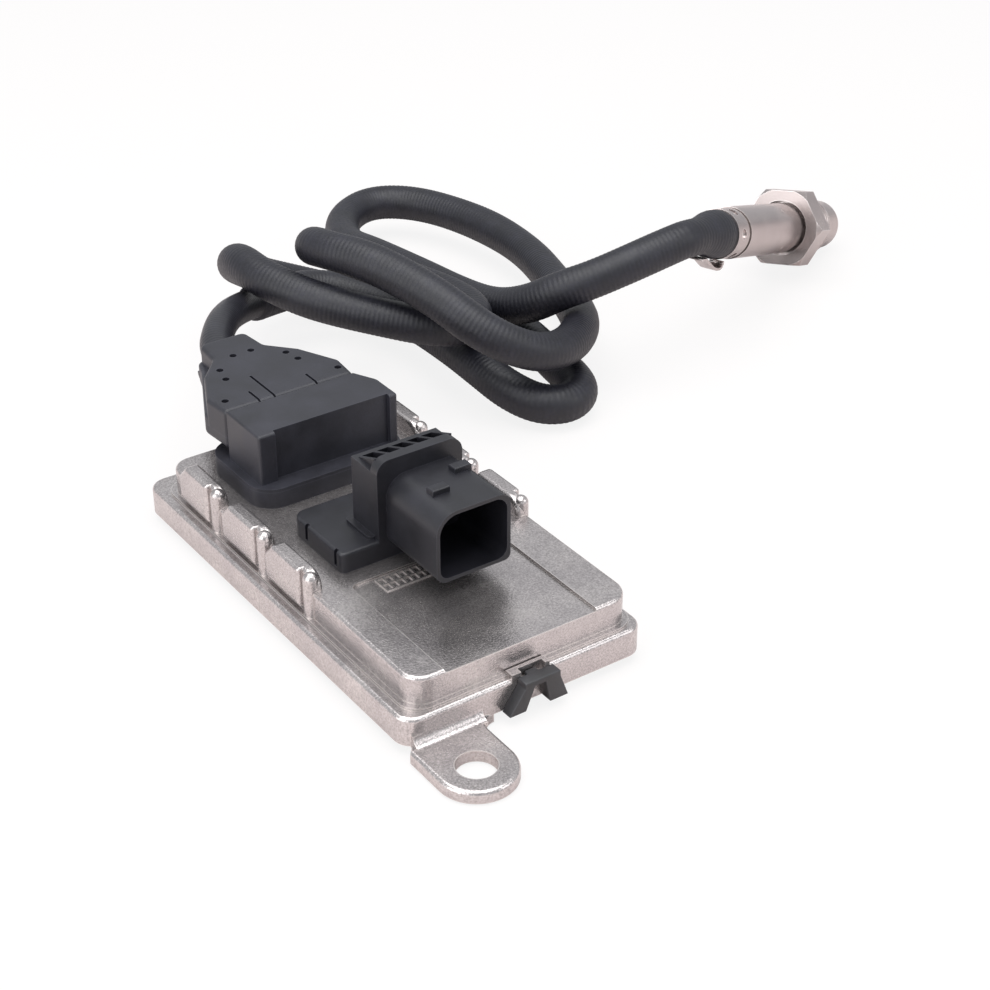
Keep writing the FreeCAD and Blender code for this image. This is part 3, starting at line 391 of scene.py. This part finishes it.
# Cable: a slim jacket with faint rings, then the hose with fine shallow rings and a flared end
steps_between_places = 12
sides_round_tube = 26
line = spline_points(control, steps_between_places)
total = lengths(line)
whole = total[-1]
jacket_end = 61.0
jacket_radius, jacket_ring_depth = 4.2, 0.06
hose_radius, hose_ring_depth = 5.4, 0.09
ring_pitch = 1.22
ring_profile = ((0.0, 1.0), (0.25, 0.3), (0.5, 0.0), (0.75, 0.3))
hose_mouth = ((0.05, 4.3), (0.7, 4.9), (1.6, 5.2), (3.0, 5.28))
hose_mouth_length = 4.0
flare_length, flare_growth = 13.0, 1.4
stations, radii, slots = [], [], []


def jacket_size(s):
    """Outer radius along the jacket in mm, the same everywhere."""
    return jacket_radius


def hose_size(s):
    """Outer radius along the hose in mm: soft unevenness, then the flare over the probe's end."""
    uneven = 0.07 * math.sin(s / 13.0) + 0.05 * math.sin(s / 5.3 + 1.0) - 0.12
    share = min(max((s - whole / MM + flare_length) / (flare_length - 2.0), 0.0), 1.0)
    opening = share * share * (3 - 2 * share)
    return hose_radius + uneven * (1 - opening) + flare_growth * opening


def ring_stretch(start, finish, size, depth, slot):
    """Adds whole rings from start to finish, each sunk by depth between its crests."""
    rings = round((finish - start) / ring_pitch)
    for ring in range(rings):
        for share, sunk in ring_profile:
            s = start + (ring + share) * (finish - start) / rings
            stations.append(s * MM)
            radii.append((size(s) - depth * sunk) * MM)
            slots.append(slot)


ring_stretch(0.0, jacket_end, jacket_size, jacket_ring_depth, 0)
for s, r in hose_mouth:
    stations.append((jacket_end + s) * MM)
    radii.append(r * MM)
    slots.append(1)
ring_stretch(jacket_end + hose_mouth_length, whole / MM, hose_size, hose_ring_depth, 1)
stations.append(whole)
radii.append(hose_size(whole / MM) * MM)
slots.append(1)
cable = tube_mesh("sensor_cable", sampled(line, total, stations), radii, sides_round_tube, slots)
cable.data.materials.append(jacket_finish)
cable.data.materials.append(hose_finish)
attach(cable, "sensor")
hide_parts("cable_jacket", "protective_hose", "hose_end_boot")


def edit(obj, mode):
    bpy.context.view_layer.objects.active = obj
    bpy.ops.object.mode_set(mode="EDIT")
    bpy.ops.mesh.select_mode(type=mode)
    bpy.ops.mesh.select_all(action="SELECT")


def pick(obj, kind, wanted):
    """Selects only the faces or edges whose middle and normal are the wanted ones."""
    bpy.ops.mesh.select_all(action="DESELECT")
    mesh = bmesh.from_edit_mesh(obj.data)
    for item in getattr(mesh, kind):
        middle = sum((v.co for v in item.verts), Vector()) / len(item.verts) / MM
        normal = item.normal if kind == "faces" else None
        if wanted(middle, normal):
            item.select_set(True)
    bmesh.update_edit_mesh(obj.data)


def pull(x, y, z):
    bpy.ops.mesh.extrude_region_move(TRANSFORM_OT_translate={"value": Vector((x, y, z)) * MM})


def finish_edges(obj, width, material, body, node):
    """Rounds the edges, smooths the shading and puts the piece in place of its CAD node."""
    bpy.ops.object.mode_set(mode="OBJECT")
    bpy.ops.object.transform_apply(location=True, rotation=True, scale=True)
    rounding = obj.modifiers.new("rounding", "BEVEL")
    rounding.width = width * MM
    rounding.segments = 3
    rounding.limit_method = "ANGLE"
    rounding.angle_limit = math.radians(30)
    bpy.ops.object.modifier_apply(modifier=rounding.name)
    bpy.ops.object.shade_smooth_by_angle(angle=math.radians(40))
    obj.data.materials.append(finishes[material])
    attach(obj, body)
    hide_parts(node)


# Edge clip: a bridge over the flange's boss, two splayed legs drawn down from it, a tongue in the slot
clip_left, clip_right, clip_top, clip_arch = -1.9, 7.2, 8.9, 7.5
slot_left, slot_right = 0.6, 3.4
flange_face, clip_front = -58.5, -61.5
bpy.ops.object.select_all(action="DESELECT")
clip_middle = Vector((clip_left + clip_right, flange_face + clip_front, clip_top + clip_arch)) / 2
bpy.ops.mesh.primitive_cube_add(size=MM, location=clip_middle * MM)
clip = bpy.context.object
clip.name = "bent_edge_clip"
clip.scale = (clip_right - clip_left, flange_face - clip_front, clip_top - clip_arch)
bpy.ops.object.transform_apply(location=True, rotation=True, scale=True)
edit(clip, "FACE")
for x in (slot_left, slot_right):
    bpy.ops.mesh.select_all(action="SELECT")
    bpy.ops.mesh.bisect(plane_co=Vector((x, 0, 0)) * MM, plane_no=(1, 0, 0))
bpy.ops.mesh.select_all(action="SELECT")
bpy.ops.mesh.bisect(plane_co=Vector((0, 0, 7.9)) * MM, plane_no=(0, 0, 1))
for lowest, highest, lean, spread in ((clip_left, slot_left, -3.2, 1.7), (slot_right, clip_right, 1.6, 1.25)):
    pick(clip, "faces", lambda m, n: lowest < m.x < highest and n.z < -0.5)
    pull(lean, 0, 1.8 - clip_arch)
    foot = Vector(((lowest + highest) / 2 + lean, (flange_face + clip_front) / 2, 1.8)) * MM
    bpy.ops.transform.resize(value=(spread, 1, 1), center_override=foot)
pick(clip, "faces", lambda m, n: slot_left < m.x < slot_right and m.z > 7.9 and n.y > 0.5)
pull(0, 1.2, 0)
finish_edges(clip, 0.65, "black_clip_steel", "sensor", "edge_clip")

# Strap below the hose end: a strip bent down from the hose and curled up again to touch it
strap_start, strap_width, strap_thickness = (-9.5, -6.5), 4.4, 0.8
strap_bends = [(1.6, 0.0), (2.6, -1.2), (3.6, -1.5), (2.4, -0.5), (2.0, 0.0), (1.3, 0.5), (0.5, 0.9),
               (-0.2, 0.7)]
strap_turn = (0.0, dip, heading)
first = probe_axis * (strap_start[0] - 0.5) + probe_up * strap_start[1]
bpy.ops.object.select_all(action="DESELECT")
bpy.ops.mesh.primitive_plane_add(size=MM, location=hose_end + first * MM, rotation=strap_turn)
strap = bpy.context.object
strap.name = "bent_strap"
strap.scale = (1.0, strap_width, 1.0)
bpy.ops.object.transform_apply(location=True, rotation=True, scale=True)
edit(strap, "EDGE")
end_edge = (hose_end + (probe_axis * strap_start[0] + probe_up * strap_start[1]) * MM) / MM
pick(strap, "edges", lambda m, n: (m - end_edge).length < 0.1)
for along, rise in strap_bends:
    pull(*(probe_axis * along + probe_up * rise))
bpy.ops.object.mode_set(mode="OBJECT")
sheet = strap.modifiers.new("sheet", "SOLIDIFY")
sheet.thickness = strap_thickness * MM
sheet.offset = 0.0
bpy.ops.object.modifier_apply(modifier=sheet.name)
finish_edges(strap, 0.2, "probe_steel", "sensor", "hose_clip")


sampled(line, total, [whole * i / 900 for i in range(901)])


# Floor: pale and matt, white to the camera but for the object's soft shadow
bpy.ops.object.select_all(action="DESELECT")
bpy.ops.mesh.primitive_plane_add(size=6.0, location=(0, 0, -0.0004))
floor = bpy.context.object
floor.name = "studio_floor"
floor_paint = bpy.data.materials.new("pale_floor_paint")
floor_paint.use_nodes = True
tree = floor_paint.node_tree
paint = tree.nodes["Principled BSDF"]
paint.inputs["Base Color"].default_value = colour("#E2D8D5")
paint.inputs["Roughness"].default_value = 0.9
glow = add(tree, "Emission", {"Color": grey(1.0), "Strength": 1.0})
path = add(tree, "LightPath")
share = add(tree, "Math", {"operation": "MULTIPLY", 1: 0.85}, {0: path.outputs["Is Camera Ray"]})
blend = add(tree, "MixShader", {},
            {0: share.outputs["Value"], 1: paint.outputs["BSDF"], 2: glow.outputs["Emission"]})
tree.links.new(blend.outputs["Shader"], tree.nodes["Material Output"].inputs["Surface"])
floor.data.materials.append(floor_paint)

# Light: plain white surroundings and three soft lamps
world = bpy.data.worlds.new("studio")
scene.world = world
world.use_nodes = True
tree = world.node_tree
background = tree.nodes["Background"]
background.inputs["Color"].default_value = (0.86, 0.92, 1.0, 1)
background.inputs["Strength"].default_value = 0.5
seen = add(tree, "Background", {"Color": grey(1.0), "Strength": 1.0})
path = add(tree, "LightPath")
# metal sees the white surroundings at about half, as in a studio with dark walls beyond the white sweep
mirrored = add(tree, "Math", {"operation": "MULTIPLY", 1: 0.45}, {0: path.outputs["Is Glossy Ray"]})
shiny = add(tree, "Math", {"operation": "MAXIMUM"},
            {0: path.outputs["Is Camera Ray"], 1: mirrored.outputs["Value"]})
clear = add(tree, "Math", {"operation": "MAXIMUM"},
            {0: shiny.outputs["Value"], 1: path.outputs["Is Transmission Ray"]})
blend = add(tree, "MixShader", {},
            {0: clear.outputs["Value"], 1: background.outputs["Background"], 2: seen.outputs["Background"]})
tree.links.new(blend.outputs["Shader"], tree.nodes["World Output"].inputs["Surface"])


def lamp(name, place, target, size, power):
    data = bpy.data.lights.new(name, "AREA")
    data.shape = "RECTANGLE"
    data.size, data.size_y = size
    data.energy = power
    obj = bpy.data.objects.new(name, data)
    obj.location = place
    obj.rotation_euler = (Vector(target) - Vector(place)).to_track_quat("-Z", "Y").to_euler()
    scene.collection.objects.link(obj)


lamp("top_lamp", (0.0, 0.0, 0.75), (0.05, 0.05, 0), (0.8, 0.8), 7.2)
lamp("left_lamp", (-0.7, -0.1, 0.3), (0.05, 0.05, 0), (0.7, 0.7), 3.6)
lamp("right_lamp", (0.55, -0.6, 0.45), (0.05, 0.05, 0), (0.5, 0.5), 1.5)

camera_data = bpy.data.cameras.new("camera")
camera_data.sensor_fit = "HORIZONTAL"
camera_data.sensor_width = 36.0
camera_data.lens = 72.727
camera_data.clip_start = 0.01
camera = bpy.data.objects.new("camera", camera_data)
camera.location = (-0.19954, -0.33351, 0.25997)
aim = Vector((0.04475, 0.01676, 0.0)) - Vector(camera.location)
camera.rotation_euler = aim.to_track_quat("-Z", "Y").to_euler()
scene.collection.objects.link(camera)
scene.camera = camera
scene.view_settings.view_transform = "Standard"
